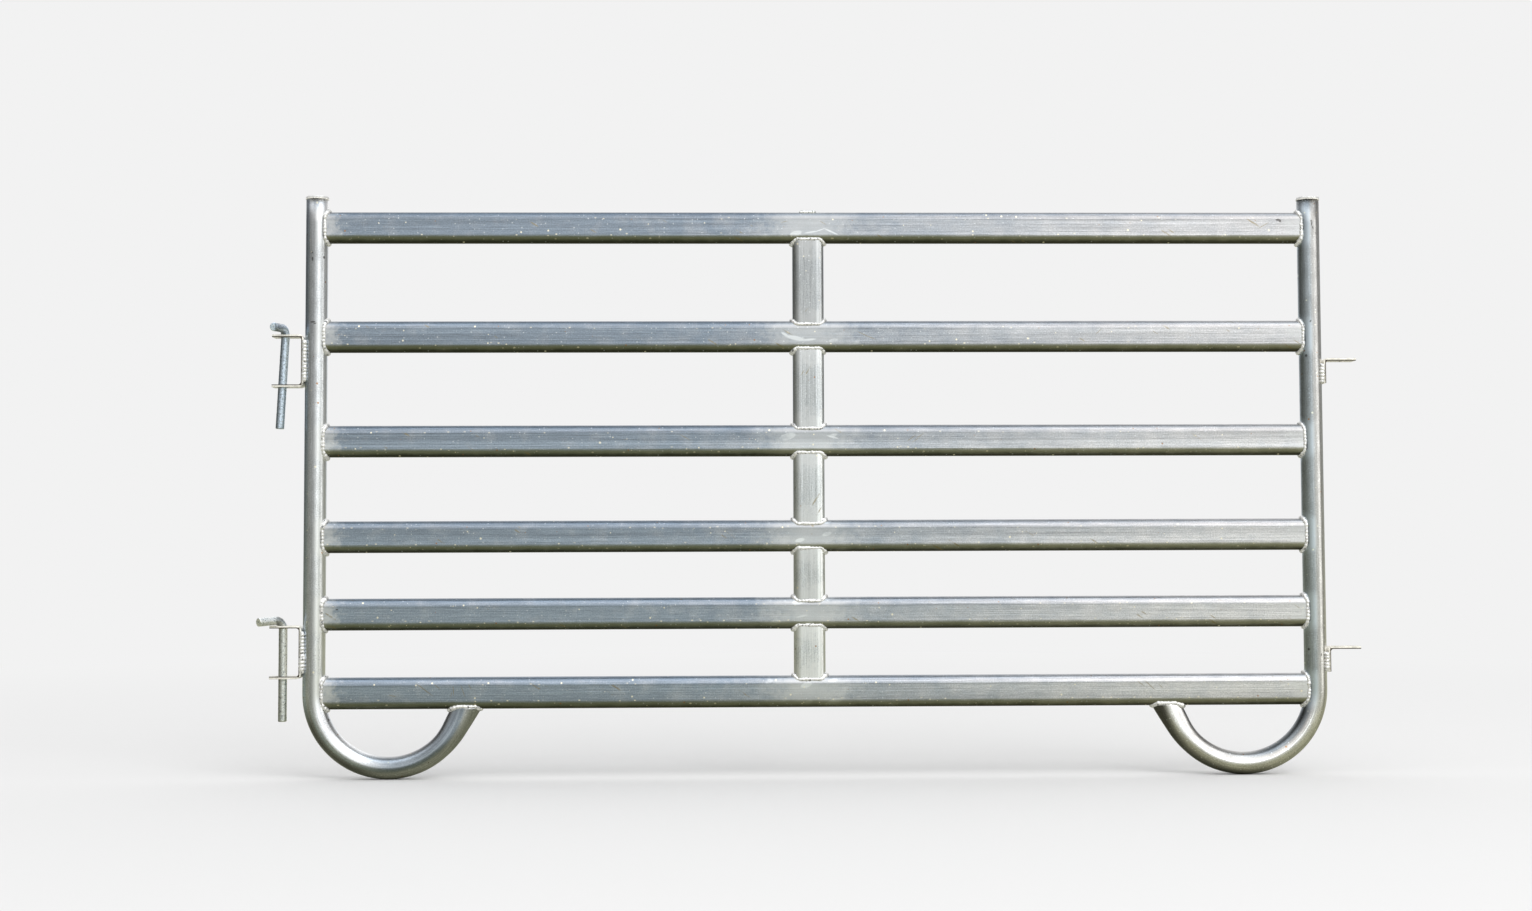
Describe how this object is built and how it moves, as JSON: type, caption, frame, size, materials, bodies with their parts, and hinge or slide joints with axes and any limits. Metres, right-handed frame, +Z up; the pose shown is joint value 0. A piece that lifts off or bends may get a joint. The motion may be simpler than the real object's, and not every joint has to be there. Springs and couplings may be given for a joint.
{
  "type": "sheep panel",
  "caption": "Galvanised steel sheep panel: oval rails between round uprights bent into skid feet, with drop pins on one side and lugs for a neighbour's pins on the other.",
  "frame": {"origin": "on the ground, midway between the two uprights, in the middle plane of the frame", "axes": "+X along the panel towards the upright with the lugs, +Y to the back, +Z up"},
  "size_m": [2.0845, 0.0789, 1.104],
  "materials": {
    "round_tube": "hot-dip galvanised, weathered",
    "oval_tube": "hot-dip galvanised, weathered",
    "cap": "hot-dip galvanised, weathered",
    "flat_bar": "hot-dip galvanised, weathered",
    "drop_pin": "hot-dip galvanised, worn",
    "weld": "weld bead under bright zinc"
  },
  "bodies": {
    "frame": {"left_upright": "round_tube", "right_upright": "round_tube", "left_post_cap": "cap", "right_post_cap": "cap", "rail_1": "oval_tube", "rail_2": "oval_tube", "rail_3": "oval_tube", "rail_4": "oval_tube", "rail_5": "oval_tube", "rail_6": "oval_tube", "centre_stay_1": "oval_tube", "centre_stay_2": "oval_tube", "centre_stay_3": "oval_tube", "centre_stay_4": "oval_tube", "centre_stay_5": "oval_tube", "upper_pin_bracket": "flat_bar", "lower_pin_bracket": "flat_bar", "upper_lug": "flat_bar", "lower_lug": "flat_bar", "left_rail_welds": "weld", "right_rail_welds": "weld", "stay_welds": "weld", "skid_welds": "weld", "bracket_welds": "weld", "lug_welds": "weld", "cap_welds": "weld", "top_rail_pad": "weld"},
    "upper_pin": {"upper_pin": "drop_pin"},
    "lower_pin": {"lower_pin": "drop_pin"}
  },
  "joints": [
    {"name": "upper_pin_lift", "type": "slide", "parent": "frame", "child": "upper_pin", "axis": [0.0529, 0, 0.9986], "range_m": [0, 0.165]},
    {"name": "lower_pin_lift", "type": "slide", "parent": "frame", "child": "lower_pin", "axis": [0, 0, 1], "range_m": [0, 0.165]}
  ]
}
